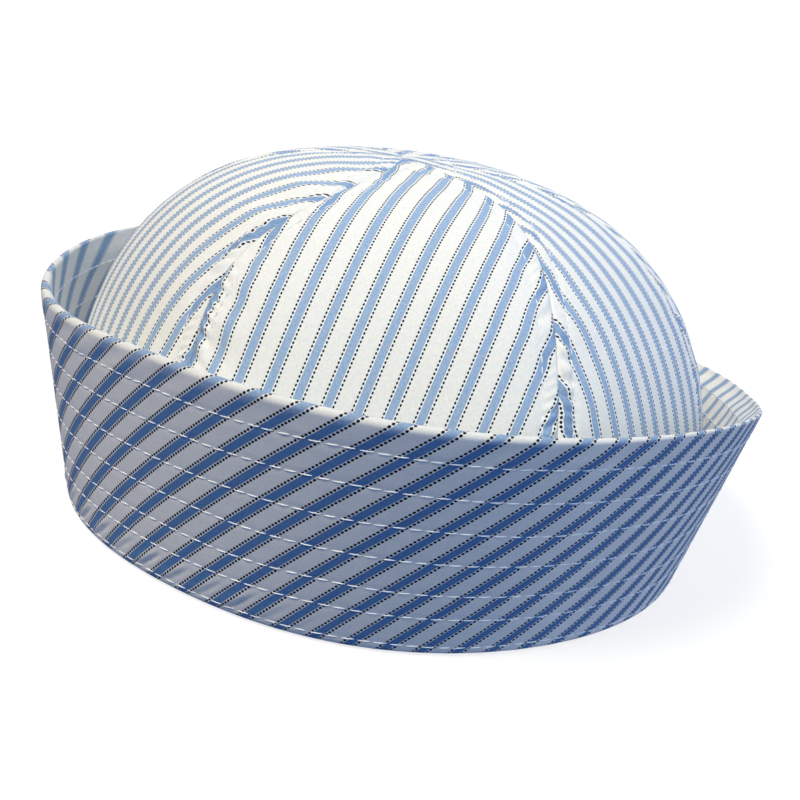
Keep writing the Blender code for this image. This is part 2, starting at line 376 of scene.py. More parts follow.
def length_up(angle, fall):
    """Length up the crown's cloth from its foot, in metres."""
    return chord_length(lambda f: dome_point(angle, f), 1.0 + 0.0 * fall, fall, LENGTH_CHORDS_UP)


def gore_reach(low, high, fall):
    """How far out from the tip the middle of a gore is."""
    middle = crown_point(mix(low, high, 0.5), fall)
    return np.linalg.norm(middle[..., :2] - CROWN_TIP_SHIFT, axis=-1)


# ---- cloth lay
def seam_draw(columns, gore, height, distance):
    """How far the stripes are drawn aside by a seam, fading with the distance from it."""
    if gore.name not in columns:
        return 0.0 * distance
    heights = [row.height for row in SEAM_DRAWS]
    draws = [getattr(row, columns[gore.name]) for row in SEAM_DRAWS]
    return np.interp(height, heights, draws) * np.exp(-distance / SEAM_DRAW_REACH)


def gore_lay(gore, angle, fall, to_low, to_high):
    """Where a point of a gore is on its cloth: (across the stripes, along them)."""
    middle = math.radians(gore.middle) + 0.0 * angle
    across = chord_length(lambda a: dome_point(a, fall), middle, angle, LENGTH_CHORDS_ACROSS)
    across = across * np.sign(angle - middle)
    up = length_up(angle, fall)
    slant = math.radians(gore.slant)
    a = across * 100.0
    m = up * 100.0
    drift = gore.drift + gore.across * a + gore.up * m + gore.across_up * a * m
    drift = drift + gore.up_up * m * m
    drift = drift + (gore.across2 + gore.across2_up * m + gore.across3 * a) * a * a
    drift = drift + seam_draw(DRAWS_AT_LOW_SIDE, gore, m, to_low)
    drift = drift + seam_draw(DRAWS_AT_HIGH_SIDE, gore, m, to_high)
    for distance, seed in ((to_low, gore.middle), (to_high, gore.middle + 1.3)):
        waver = SEAM_WAVER * uneven(up, SEAM_WAVER_SPACING, seed)
        drift = drift + waver * np.exp(-distance / SEAM_DRAW_REACH)
    stripes = (across * math.cos(slant) + up * math.sin(slant)) / CROWN_PITCH + drift
    return stripes * CROWN_PITCH, up * math.cos(slant) - across * math.sin(slant)


def settle(value, reach, fade):
    """Follow a value up to a reach either side of nothing, then level off."""
    size = np.abs(value)
    over = np.maximum(size - reach, 0.0)
    return np.sign(value) * (np.minimum(size, reach) + fade * (1.0 - np.exp(-over / fade)))


def brim_lay(length, slope):
    """Where a point of the brim is on its cloth; slope runs on over the rim and down inside."""
    ring = BRIM_LAY_RADIUS
    x = (ring + slope) * np.sin(length / ring)
    y = (ring + slope) * np.cos(length / ring) - ring
    turn = math.radians(BRIM_STRIPE_TURN)
    s = settle(length * 100.0, BRIM_DRIFT_REACH, BRIM_DRIFT_FADE)
    v = settle(np.clip(slope * 100.0, 0.0, None), BRIM_DRIFT_HEIGHT, 1.0)
    drift = sum(d.stripes * s ** d.round * v ** d.up for d in BRIM_DRIFTS)
    drift = drift + BRIM_RIPPLE * np.sin(2.0 * math.pi * s / BRIM_RIPPLE_LENGTH)
    stripes = (x * math.cos(turn) + y * math.sin(turn)) / BRIM_PITCH + drift
    closeness = BRIM_WEAVE_FRONT + BRIM_WEAVE_CHANGE * s
    drawn_x = x * (BRIM_WEAVE_FRONT + 0.5 * BRIM_WEAVE_CHANGE * s)
    return stripes * BRIM_PITCH, y * closeness * math.cos(turn) - drawn_x * math.sin(turn)


# ---- meshes
def make_mesh(name, shape, **sizes):
    """A mesh of one of bmesh's own shapes."""
    form = bmesh.new()
    shape(form, **sizes)
    mesh = bpy.data.meshes.new(name)
    form.to_mesh(mesh)
    form.free()
    return mesh


def add_object(name, data):
    thing = bpy.data.objects.new(name, data)
    bpy.context.scene.collection.objects.link(thing)
    return thing


def finish_piece(name, mesh, material):
    mesh.materials.append(material)
    mesh.shade_smooth()
    piece = add_object(name, mesh)
    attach(piece, "root")
    return piece


def vertex_places(mesh):
    places = np.empty(len(mesh.vertices) * 3)
    mesh.vertices.foreach_get("co", places)
    return places.reshape(-1, 3)


def write_lay(mesh, across, along):
    """Give each face corner the place on the cloth that its vertex has."""
    corners = np.empty(len(mesh.loops), dtype=np.int64)
    mesh.loops.foreach_get("vertex_index", corners)
    layer = mesh.uv_layers.new(name="cloth")
    layer.data.foreach_set("uv", np.stack([across, along], -1)[corners].ravel())


def weld(mesh, gap, facing):
    """Join points closer than a gap, and turn the faces over if they face inwards."""
    form = bmesh.new()
    form.from_mesh(mesh)
    bmesh.ops.remove_doubles(form, verts=form.verts, dist=gap)
    form.normal_update()
    if facing(form) < 0.0:
        bmesh.ops.reverse_faces(form, faces=form.faces)
    form.to_mesh(mesh)
    form.free()


def write_shade(mesh, name, values):
    """Give each vertex a number that its material reads."""
    layer = mesh.attributes.new(name, 'FLOAT', 'POINT')
    layer.data.foreach_set("value", values.astype(np.float32))


# ---- crown
def fall_rows():
    """Falls of the gores' rows, evenly spaced along the cloth from tip to foot."""
    quarter = math.pi / 2
    tip = math.asin((TIP_RADIUS / CROWN_HALF_WIDTH) ** (CROWN_SQUARENESS_ACROSS / 2.0)) / quarter
    foot = math.acos((CROWN_FOOT / CROWN_HEIGHT) ** (CROWN_SQUARENESS_UP / 2.0)) / quarter
    fine = np.linspace(tip, foot, 4000)
    length = lengths_along(crown_point(FRONT + 0.0 * fine, fine))
    return np.interp(np.linspace(0.0, length[-1], GORE_ROWS + 1), length, fine)


def crown_normal(angle, fall):
    small = 1e-3
    across = crown_point(angle + small, fall) - crown_point(angle - small, fall)
    below = crown_point(angle, np.minimum(fall + small, 1.0))
    down = below - crown_point(angle, fall * (1.0 - small))
    normal = np.cross(down, across)
    return normal / np.linalg.norm(normal, axis=-1, keepdims=True)


def seam_relief(distance, up, reach, side, looseness):
    """Height of the cloth near a seam: groove, pressed-open edges, topstitching and puckers."""
    height = sum(form_height(form, distance)
                 for form in (SEAM_HOLLOW, SEAM_GROOVE, SEAM_EDGE, TOPSTITCH_DIP))
    pillow = 2.0 * np.abs(uneven(up + 0.5 * distance, SEAM_PUCKER_SPACING, side + 4.0)) - 0.8
    strength = 1.0 - PUCKER_EASED * smooth_step(up, *PUCKER_EASE)
    drape = uneven(up + 0.25 * distance, SEAM_DRAPE_SPACING, side + 2.6)
    loose = strength * pillow * form_height(SEAM_PUCKER, distance)
    loose = loose + drape * form_height(SEAM_DRAPE, distance)
    height = height + looseness * loose * smooth_step(distance, 0.0, SEAM_CLEAR)
    return height * smooth_step(reach, *TIP_CALM)


def gore_surface(index, angle, fall, low, high):
    """Points of a gore, with its seam relief, and how far each is from its two seams."""
    reach = gore_reach(low, high, fall)
    up = length_up(angle, fall)
    to_low = (angle - low) * reach
    to_high = (high - angle) * reach
    next_seam = SEAMS[(index + 1) % len(SEAMS)]
    relief = seam_relief(to_low, up, reach, 1.7 * index + 0.4, SEAMS[index].looseness)
    relief = relief + seam_relief(to_high, up, reach, 1.7 * index + 1.1, next_seam.looseness)
    place = crown_point(angle, fall) + relief[..., None] * crown_normal(angle, fall)
    return place + AXIS_PLACE, to_low, to_high


def build_gore(index, material):
    """A flat grid of cloth bent into one gore, narrowed to the tip, with a thin wall."""
    name = "crown_gore_" + GORES[index].name
    mesh = make_mesh(name, bmesh.ops.create_grid, x_segments=GORE_COLUMNS,
                     y_segments=GORE_ROWS, size=0.5)
    grid = vertex_places(mesh)
    share = np.clip(grid[:, 0] + 0.5, 0.0, 1.0)
    share = mix(share, 0.5 - 0.5 * np.cos(math.pi * share), GORE_EDGE_CROWDING)
    row = np.rint((0.5 - grid[:, 1]) * GORE_ROWS).astype(int)
    fall = fall_rows()[row]
    low = seam_angle(index, 1.0 - fall)
    high = seam_angle(index + 1, 1.0 - fall)
    angle = mix(low, high, share)
    places, to_low, to_high = gore_surface(index, angle, fall, low, high)
    mesh.vertices.foreach_set("co", places.ravel())
    across, along = gore_lay(GORES[index], angle, fall, to_low, to_high)
    write_lay(mesh, across, along)
    # beside each seam the blue is deeper: partly the double layer of seam cloth, partly painted
    # shade
    beyond = smooth_step(np.minimum(to_low, to_high), *SEAM_DEEP_EDGE)
    write_shade(mesh, "doubled_cloth_and_shade", SEAM_DEPTH * (1.0 - beyond))
    weld(mesh, TIP_WELD, lambda form: sum(f.normal.z * f.calc_area() for f in form.faces))
    piece = finish_piece(name, mesh, material)
    wall = piece.modifiers.new("Cloth", 'SOLIDIFY')
    wall.thickness = CLOTH_THICKNESS
    wall.offset = -1.0
    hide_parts("crown_panel_" + GORES[index].name)


# ---- brim
INNER_FOLD_CLOTH = 0.001    # cloth taken up by the inner fold
EDGE_CLOTH_START = 0.005    # where the cloth goes round the very edge
EDGE_CLOTH = 0.003          # and how much of it does
INNER_RELIEF = 0.8          # share of the outer cloth's relief that the inner cloth shows
FOLD_RELIEF = (0.3, 0.8)    # the bottom fold takes relief on over this part of its turn
WRONG_SIDE = (0.3, 1.0)     # and the rim turns to the softer wrong side over this part

# The stretches of the brim's section, from the turned-in edge, up the outside
# to the rim and back down inside, and the rows of faces in each.
SECTION = (("under", 4), ("fold", 10), ("outside", 78), ("rim", 12),
           ("inside", 44), ("inner_fold", 4), ("over", 4), ("edge", 4))


def section_rows():
    """The rows of the brim's section, each a stretch and the share of the way along it."""
    rows = [(stretch, step / count) for stretch, count in SECTION for step in range(count)]
    return rows + [("edge", 1.0)]


def wall_thickness(angle, below_rim):
    """Thickness of the brim at a distance down from the rim's middle."""
    share = smooth_step(below_rim, 0.0, RIM_THICKENING)
    return mix(2.0 * rim_radius(angle), BRIM_THICKNESS, share)


def brim_relief(angle, slope, stripes):
    """Height of the outer cloth: rows pulled in by stitching, puffs, and drawn folds."""
    below_rim = rim_start(angle) - slope
    length = lay_length(angle)
    height = 0.0 * slope
    for number, share in enumerate(STITCH_ROW_SHARES):
        above = slope - stitch_row(angle, number)
        tug = uneven(length + 0.6 * above, ROW_TUG_SPACING, number * 2.9 + 0.5)
        height = height + form_height(ROW_DIP, above) + tug * form_height(ROW_TUG, above)
    # folds drawn between the bottom edge and the lowest row, one to a stripe
    low_band = between(slope, FOLD_LOW, FOLD_HIGH)
    drawn = between(angle, FOLD_LEFT, FOLD_RIGHT)
    lean = FOLD_LEAN * (1.0 - slope / FOLD_REACH)
    turn = 2.0 * math.pi * (stripes / BRIM_PITCH - FOLD_PLACE - lean)
    turn = turn + FOLD_SKEW * (np.cos(turn) - 1.0)
    fold = np.exp(FOLD_SHARPNESS * (np.cos(turn) - 1.0)) - FOLD_FLOOR
    fold = fold + SECOND_FOLD * np.exp(FOLD_SHARPNESS * (np.cos(turn - SECOND_FOLD_TURN) - 1.0))
    swell = 0.75 + 0.25 * np.sin(turn * 0.37 + 1.0)
    height = height + FOLD_HEIGHT * mix(FOLD_ELSEWHERE, 1.0, drawn) * low_band * fold * swell
    top_band = between(below_rim, RIM_PUFF_START, RIM_PUFF_END)
    return height + RIM_PUFF * top_band * uneven(stripes, RIM_PUFF_SPACING, 2.2)


def stitch_row(angle, number):
    """How far up the slope a row of stitching runs."""
    right_half = between(angle, ROW_LIFT_START, ROW_LIFT_END)
    wander = ROW_WANDER * uneven(lay_length(angle), ROW_WANDER_SPACING, number * 1.3)
    return STITCH_ROW_SHARES[number] * brim_width(angle) + ROW_LIFT * right_half + wander


def brim_section(angle):
    """Points, cloth places, depth of blue and softness of all rows at the stations' angles."""
    flare = brim_flare(angle)
    length = lay_length(angle)
    straight = rim_start(angle)
    rim = rim_radius(angle)
    round_rim = straight + rim * math.pi
    fold_length = FOLD_RADIUS * (math.pi / 2 - flare)
    inner_radius = FOLD_RADIUS - BRIM_THICKNESS
    # the brim's blue is deep with painted shade below and pale with painted light on the lit rim,
    # and stays deep where the rim lies in shade
    nearly = nearness(angle, DEEP_RIM_AZIMUTH, DEEP_RIM_REACH)
    stays_deep = smooth_step(nearly, *DEEP_RIM_FADE)
    places, lays, depths, softness = [], [], [], []
    for stretch, share in section_rows():
        faded = float(stretch not in ("under", "fold"))
        soft = float(stretch in ("inside", "inner_fold"))
        if stretch == "outside":
            faded = smooth_step(share, mix(RIM_PALE_START, RIM_PALE_START_DEEP, stays_deep), 1.0)
        elif stretch == "rim":
            soft = smooth_step(share, *WRONG_SIDE)
        depths.append(mix(1.0, RIM_DEPTH, faded) + 0.0 * angle)
        softness.append(soft + 0.0 * angle)
        share = share + 0.0 * angle
        if stretch == "under":
            outward = -FOLD_RADIUS - REST_WIDTH * (1.0 - share)
            up = 0.0 * angle
            slope = -fold_length - REST_WIDTH * (1.0 - share)
        elif stretch == "fold":
            turn = mix(-math.pi / 2, -flare, share)
            slope = -fold_length * (1.0 - share)
            relief = brim_relief(angle, slope, brim_lay(length, slope)[0])
            radius = FOLD_RADIUS + relief * smooth_step(share, *FOLD_RELIEF)
            outward = radius * np.cos(turn) - FOLD_RADIUS
            up = radius * np.sin(turn) + FOLD_RADIUS
        elif stretch == "outside":
            slope = share * straight
            relief = brim_relief(angle, slope, brim_lay(length, slope)[0])
            outward, up = up_the_slope(flare, slope, relief)
        elif stretch == "rim":
            turn = math.pi * share
            slope = straight + rim * turn
            foot_out, foot_up = up_the_slope(flare, straight, 0.0)
            outward = foot_out + rim * (np.cos(turn - flare) - np.cos(flare))
            up = foot_up + rim * (np.sin(turn - flare) + np.sin(flare))
        elif stretch == "inside":
            down = share * (straight - BRIM_THICKNESS * 0.5)
            slope = round_rim + down
            outward, up = inner_face(angle, straight - down)
        elif stretch == "inner_fold":
            turn = mix(-flare, -math.pi / 2, share)
            outward = -FOLD_RADIUS + inner_radius * np.cos(turn)
            up = FOLD_RADIUS + inner_radius * np.sin(turn)
            slope = round_rim + straight + inner_radius * (math.pi / 2 - flare) * share
        elif stretch == "over":
            outward = -FOLD_RADIUS - REST_WIDTH * share
            up = BRIM_THICKNESS + 0.0 * angle
            slope = round_rim + straight + INNER_FOLD_CLOTH + REST_WIDTH * share
        else:
            turn = mix(math.pi / 2, 1.5 * math.pi, share)
            outward = -FOLD_RADIUS - REST_WIDTH + 0.5 * BRIM_THICKNESS * np.cos(turn)
            up = 0.5 * BRIM_THICKNESS * (1.0 + np.sin(turn))
            slope = round_rim + straight + EDGE_CLOTH_START + EDGE_CLOTH * share
        places.append(raise_section(angle, outward, up))
        lays.append(np.stack(brim_lay(length, slope), -1))
    return tuple(np.stack(part) for part in (places, lays, depths, softness))


def up_the_slope(flare, slope, height):
    """A point up the brim's slope and out from it, as outward and up from the base."""
    outward = FOLD_RADIUS * (np.cos(flare) - 1.0) + slope * np.sin(flare) + height * np.cos(flare)
    up = FOLD_RADIUS * (1.0 - np.sin(flare)) + slope * np.cos(flare) - height * np.sin(flare)
    return outward, up


def inner_face(angle, slope):
    """The brim's inner cloth at a height up the slope, as outward and up from the base."""
    down = rim_start(angle) - slope
    stripes = brim_lay(lay_length(angle), slope + 2.0 * down + rim_radius(angle) * math.pi)[0]
    depth = wall_thickness(angle, down) - INNER_RELIEF * brim_relief(angle, slope, stripes)
    return up_the_slope(brim_flare(angle), slope, -depth)


def station_angles():
    """Angles of the brim's stations, from the back round to the back again."""
    share = np.arange(BRIM_STATIONS + 1) / BRIM_STATIONS
    start = math.radians(90.0)
    even = start + 2.0 * math.pi * share
    return even - DENSE_SHIFT * (np.sin(even - DENSE_SIDE) - math.sin(start - DENSE_SIDE))


def build_brim(material):
    """A flat grid of cloth bent round the brim's section and joined at the back."""
    rows = len(section_rows()) - 1
    mesh = make_mesh("brim_band", bmesh.ops.create_grid, x_segments=BRIM_STATIONS,
                     y_segments=rows, size=0.5)
    grid = vertex_places(mesh)
    station = np.rint((grid[:, 0] + 0.5) * BRIM_STATIONS).astype(int)
    row = np.rint((grid[:, 1] + 0.5) * rows).astype(int)
    places, lays, depths, softness = brim_section(station_angles())
    places[:, -1] = places[:, 0]
    mesh.vertices.foreach_set("co", places[row, station].ravel())
    write_lay(mesh, *lays[row, station].T)
    write_shade(mesh, "doubled_cloth_and_shade", depths[row, station])
    write_shade(mesh, "soft", softness[row, station])
    weld(mesh, BRIM_WELD, lambda form: form.calc_volume(signed=True))
    piece = finish_piece("brim_band", mesh, material)
    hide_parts("brim")


# ---- threads
def stitch_copies(name, count):
    """One mesh of many small round-ended stitches, all at the middle, and one stitch's points."""
    block = make_mesh("stitch", bmesh.ops.create_uvsphere, u_segments=6, v_segments=6, radius=1.0)
    one = vertex_places(block)
    whole = bmesh.new()
    while count:
        if count & 1:
            whole.from_mesh(block)
        count >>= 1
        twice = bmesh.new()
        twice.from_mesh(block)
        twice.from_mesh(block)
        twice.to_mesh(block)
        twice.free()
    mesh = bpy.data.meshes.new(name)
    whole.to_mesh(mesh)
    whole.free()
    bpy.data.meshes.remove(block)
    return mesh, one


def stitches_along(places, outwards, pitch, stitch_length, lean, seed):
    """Middle, side, outward and along directions of each stitch on one line."""
    length = lengths_along(places)
    count = int(length[-1] / pitch)
    number = np.arange(count)
    wander = STITCH_WANDER * np.sin(number * STITCH_WANDER_TURN + seed)
    at = (number + FIRST_STITCH) * length[-1] / count + wander

    def read(values, where):
        return np.stack([np.interp(where, length, values[:, k]) for k in range(3)], -1)

    start, end = read(places, at), read(places, at + stitch_length)
    outward = read(outwards, at + 0.5 * stitch_length)
    along = (end - start) / np.linalg.norm(end - start, axis=-1, keepdims=True)
    side = np.cross(outward, along)
    side = side / np.linalg.norm(side, axis=-1, keepdims=True)
    along = along * math.cos(lean) + side * math.sin(lean)
    outward = np.cross(along, side)
    outward = outward / np.linalg.norm(outward, axis=-1, keepdims=True)
    side = np.cross(outward, along)
    return 0.5 * (start + end), side, outward, along


def sew(name, lines, pitch, stitch_length, material):
    """Lay short stitches along lines of (places, outward directions, lean) on the cloth."""
    rows = [stitches_along(*line[:2], pitch, stitch_length, line[2], number * 1.7)
            for number, line in enumerate(lines)]
    middle, side, outward, along = (np.concatenate(parts) for parts in zip(*rows))
    mesh, one = stitch_copies(name, len(middle))
    blunt = np.sqrt(np.hypot(one[:, 0], one[:, 1]).clip(1e-9))
    across = one[:, 0] / blunt * THREAD_RADIUS
    rise = (one[:, 1] / blunt + THREAD_RISE - THREAD_DIP * one[:, 2] ** 2) * THREAD_RADIUS
    run = one[:, 2] * stitch_length / 2.0
    places = (middle[:, None] + across[None, :, None] * side[:, None]
              + rise[None, :, None] * outward[:, None] + run[None, :, None] * along[:, None])
    mesh.vertices.foreach_set("co", places.ravel())
    write_shade(mesh, "end", np.tile(one[:, 2] ** 2, len(middle)))
    piece = finish_piece(name, mesh, material)


def brim_lines(inner):
    """The lines of stitching round one face of the brim."""
    angle = np.radians(np.linspace(90.3, 449.7, 1200))
    flare = brim_flare(angle)
    level = base_outward(angle)
    face = np.concatenate([level * np.cos(flare)[:, None], -np.sin(flare)[:, None]], -1)
    lines = []
    for number in range(1 if inner else 0, len(STITCH_ROW_SHARES)):
        slope = stitch_row(angle, number)
        if inner:
            outward, up = inner_face(angle, slope)
        else:
            relief = brim_relief(angle, slope, brim_lay(lay_length(angle), slope)[0])
            outward, up = up_the_slope(flare, slope, relief)
        places = raise_section(angle, outward, up)
        lines.append((places, -face if inner else face, BRIM_STITCH_LEAN))
    return lines


def seam_lines():
    """The topstitching either side of each crown seam."""
    lines = []
    fall = fall_rows()[TIP_ROWS_UNSEWN:]
    for index in range(len(GORES)):
        low = seam_angle(index, 1.0 - fall)
        high = seam_angle(index + 1, 1.0 - fall)
        step = TOPSTITCH_SIDE / gore_reach(low, high, fall)
        for angle in (low + step, high - step):
            places = gore_surface(index, angle, fall, low, high)[0]
            lines.append((places, crown_normal(angle, fall), SEAM_STITCH_LEAN))
    return lines


# ---- materials
class Nodes:
    """Short ways to add shader nodes to one tree."""

    def __init__(self, tree):
        self.nodes = tree.nodes
        self.links = tree.links

    def add(self, kind, **settings):
        node = self.nodes.new(kind)
        for key, value in settings.items():
            setattr(node, key, value)
        return node

    def feed(self, socket, value):
        if isinstance(value, bpy.types.NodeSocket):
            self.links.new(value, socket)
        else:
            socket.default_value = value

    def math(self, operation, *values):
        node = self.add('ShaderNodeMath', operation=operation)
        for socket, value in zip(node.inputs, values):
            self.feed(socket, value)
        return node.outputs[0]

    def ease(self, value, low, high, start=0.0, end=1.0):
        node = self.add('ShaderNodeMapRange', interpolation_type='SMOOTHSTEP')
        keys = ("Value", "From Min", "From Max", "To Min", "To Max")
        for key, item in zip(keys, (value, low, high, start, end)):
            self.feed(node.inputs[key], item)
        return node.outputs[0]

    def blend(self, share, a, b):
        node = self.add('ShaderNodeMix', data_type='RGBA')
        self.feed(node.inputs[0], share)
        self.feed(node.inputs[6], a)
        self.feed(node.inputs[7], b)
        return node.outputs[2]

    def noise(self, vector, scale):
        node = self.add('ShaderNodeTexNoise')
        self.feed(node.inputs["Vector"], vector)
        node.inputs["Scale"].default_value = scale
        node.inputs["Detail"].default_value = 2.0
        return node.outputs["Fac"]

    def stretch(self, vector, scale):
        node = self.add('ShaderNodeMapping')
        self.feed(node.inputs["Vector"], vector)
        node.inputs["Scale"].default_value = scale
        return node.outputs[0]


# Colours of the cotton, two for each that is a little mottled.
OFF_WHITES = ((0.905, 0.880, 0.825, 1.0), (0.885, 0.868, 0.832, 1.0))
# The pale blue is the cloth's blue with painted light, as it looks in strong light; the deep blue
# is the same blue with painted shade.
LIT_PALE_BLUES = ((0.310, 0.450, 0.655, 1.0), (0.345, 0.455, 0.630, 1.0))
DEEP_BLUES = ((0.082, 0.215, 0.455, 1.0), (0.098, 0.212, 0.432, 1.0))
EDGE_WHITE = (0.93, 0.93, 0.93, 1.0)
DOT_BLACK = (0.002, 0.004, 0.012, 1.0)
THREAD_WHITES = ((0.97, 0.97, 0.98, 1.0), (0.86, 0.87, 0.90, 1.0))
# painted shade where a stitch's end goes down into its needle hole
NEEDLE_HOLE_SHADE = (0.20, 0.17, 0.15, 1.0)

# Distances from the middle of a blue band, in stripes.
BAND_EDGE = (0.126, 0.141)  # the band fades out between these
BAND_BLUR = (0.045, 0.125)  # sooner and later by this much on the wrong side
WHITE_IN = (0.130, 0.145)   # white yarns come in between these
WHITE_OUT = (0.160, 0.200)  # and go out between these
DOT_LINE = 0.197            # the dotted yarns lie here
DOT_EDGE = (0.70, 1.30)     # a dot fades between these shares of its size
DOTS_LEFT = 0.12            # this much of the dots shows on the wrong side
DOTS_TO_A_STRIPE = 6.5      # dots in a length as long as the stripes are apart


def make_striped_cotton():
    """Woven stripes: a blue band, white edges and dotted dark yarns on off-white cotton."""
    group = bpy.data.node_groups.new("striped_cotton", 'ShaderNodeTree')
    sockets = group.interface
    sockets.new_socket("Cloth Place", in_out='INPUT', socket_type='NodeSocketVector')
    for name in ("Pitch", "Doubled Cloth And Shade", "Dot Width", "Dot Length", "Lightness", "Softness"):
        sockets.new_socket(name, in_out='INPUT', socket_type='NodeSocketFloat')
    sockets.new_socket("Colour", in_out='OUTPUT', socket_type='NodeSocketColor')
    for name in ("Roughness", "Height"):
        sockets.new_socket(name, in_out='OUTPUT', socket_type='NodeSocketFloat')
    n = Nodes(group)
    given = n.add('NodeGroupInput')
    result = n.add('NodeGroupOutput')
    parts = n.add('ShaderNodeSeparateXYZ')
    place, pitch, doubled_cloth_and_shade, dot_width, dot_length, shade_lightness, soft = given.outputs[:7]
    n.feed(parts.inputs[0], place)
    across, along = parts.outputs[0], parts.outputs[1]
    turn = n.math('FRACT', n.math('DIVIDE', across, pitch))
    distance = n.math('ABSOLUTE', n.math('SUBTRACT', turn, 0.5))
    band_start = n.math('SUBTRACT', BAND_EDGE[0], n.math('MULTIPLY', soft, BAND_BLUR[0]))
    band_end = n.math('ADD', BAND_EDGE[1], n.math('MULTIPLY', soft, BAND_BLUR[1]))
    band = n.ease(distance, band_start, band_end, 1.0, 0.0)
    edge = n.math('MULTIPLY', n.ease(distance, *WHITE_IN), n.ease(distance, *WHITE_OUT, 1.0, 0.0))
    edge = n.math('MULTIPLY', edge, n.math('SUBTRACT', 1.0, soft))
    off_line = n.math('SUBTRACT', distance, DOT_LINE)
    dot_across = n.math('DIVIDE', off_line, dot_width)
    dot_count = n.math('MULTIPLY', n.math('DIVIDE', along, pitch), DOTS_TO_A_STRIPE)
    dot_turn = n.math('SUBTRACT', n.math('FRACT', dot_count), 0.5)
    dot_along = n.math('DIVIDE', dot_turn, dot_length)
    dot = n.math('ADD', n.math('POWER', n.math('ABSOLUTE', dot_across), 2.0),
                 n.math('POWER', n.math('ABSOLUTE', dot_along), 2.0))
    dots = n.math('MULTIPLY', n.ease(dot, *DOT_EDGE, 1.0, 0.0),
                  n.ease(soft, 0.0, 1.0, 1.0, DOTS_LEFT))
    slub = n.noise(n.stretch(place, (2600.0, 700.0, 1.0)), 1.0)
    mottle = n.noise(place, 420.0)
    grain = n.noise(place, 1500.0)
    ground = n.blend(n.ease(mottle, 0.35, 0.65), *OFF_WHITES)
    ground = n.blend(edge, ground, EDGE_WHITE)
    pale = n.blend(n.ease(mottle, 0.3, 0.7), *LIT_PALE_BLUES)
    deep = n.blend(n.ease(mottle, 0.3, 0.7), *DEEP_BLUES)
    # the blue runs from the pale look of painted light to the deep look of painted shade, beside
    # the crown's seams partly for the double layer of cloth
    blue = n.blend(doubled_cloth_and_shade, pale, deep)
    colour = n.blend(band, ground, blue)
    colour = n.blend(dots, colour, DOT_BLACK)
    fleck = n.math('MULTIPLY', n.ease(grain, 0.3, 0.7, -0.10, 0.12),
                   n.ease(band, 0.0, 1.0, 0.25, 1.05))
    yarn = n.math('ADD', n.ease(slub, 0.25, 0.75, 0.94, 1.02), fleck)
    # the lightness scales a whole cloth: the brim's lower one is painted shade
    tint = n.add('ShaderNodeVectorMath', operation='SCALE')
    n.feed(tint.inputs[0], colour)
    n.feed(tint.inputs["Scale"], n.math('MULTIPLY', yarn, shade_lightness))
    n.feed(result.inputs["Colour"], tint.outputs[0])
    n.feed(result.inputs["Roughness"], n.math('SUBTRACT', 0.78, n.math('MULTIPLY', band, 0.10)))
    weave = n.math('ADD', n.math('MULTIPLY', slub, 0.6), n.math('MULTIPLY', band, 0.35))
    n.feed(result.inputs["Height"], n.math('SUBTRACT', weave, n.math('MULTIPLY', dots, 0.15)))
    return group


def make_cloth(name, group, pitch, dot_width, dot_length, shade_lightness):
    """The striped cotton at one pitch of stripes, with a faint sheen and its weave."""
    material = bpy.data.materials.new(name)
    material.use_nodes = True
    n = Nodes(material.node_tree)
    shader = material.node_tree.nodes["Principled BSDF"]
    lay = n.add('ShaderNodeUVMap', uv_map="cloth")
    doubled_cloth_and_shade = n.add('ShaderNodeAttribute', attribute_name="doubled_cloth_and_shade")
    soft = n.add('ShaderNodeAttribute', attribute_name="soft")
    cotton = n.add('ShaderNodeGroup', node_tree=group)
    n.feed(cotton.inputs["Cloth Place"], lay.outputs[0])
    for key, value in (("Pitch", pitch), ("Dot Width", dot_width), ("Dot Length", dot_length),
                       ("Lightness", shade_lightness)):
        cotton.inputs[key].default_value = value
    n.feed(cotton.inputs["Doubled Cloth And Shade"], doubled_cloth_and_shade.outputs["Fac"])
    n.feed(cotton.inputs["Softness"], soft.outputs["Fac"])
    n.feed(shader.inputs["Base Color"], cotton.outputs["Colour"])
    n.feed(shader.inputs["Roughness"], cotton.outputs["Roughness"])
    shader.inputs["Specular IOR Level"].default_value = 0.25
    shader.inputs["Sheen Weight"].default_value = 0.04
    shader.inputs["Sheen Roughness"].default_value = 0.5
    bump = n.add('ShaderNodeBump')
    bump.inputs["Strength"].default_value = 0.25
    bump.inputs["Distance"].default_value = 0.00012
    n.feed(bump.inputs["Height"], cotton.outputs["Height"])
    n.feed(shader.inputs["Normal"], bump.outputs[0])
    return material


def make_thread():
    """White sewing cotton, with painted shade darkening its ends where they go down into the
    needle holes.
    """
    material = bpy.data.materials.new("white_thread")
    material.use_nodes = True
    n = Nodes(material.node_tree)
    shader = material.node_tree.nodes["Principled BSDF"]
    place = n.add('ShaderNodeTexCoord').outputs["Object"]
    fibre = n.noise(place, 2500.0)
    cotton = n.blend(fibre, *THREAD_WHITES)
    end = n.add('ShaderNodeAttribute', attribute_name="end")
    hole_shade = n.ease(end.outputs["Fac"], 0.72, 1.0)
    n.feed(shader.inputs["Base Color"], n.blend(hole_shade, cotton, NEEDLE_HOLE_SHADE))
    shader.inputs["Roughness"].default_value = 0.55
    return material


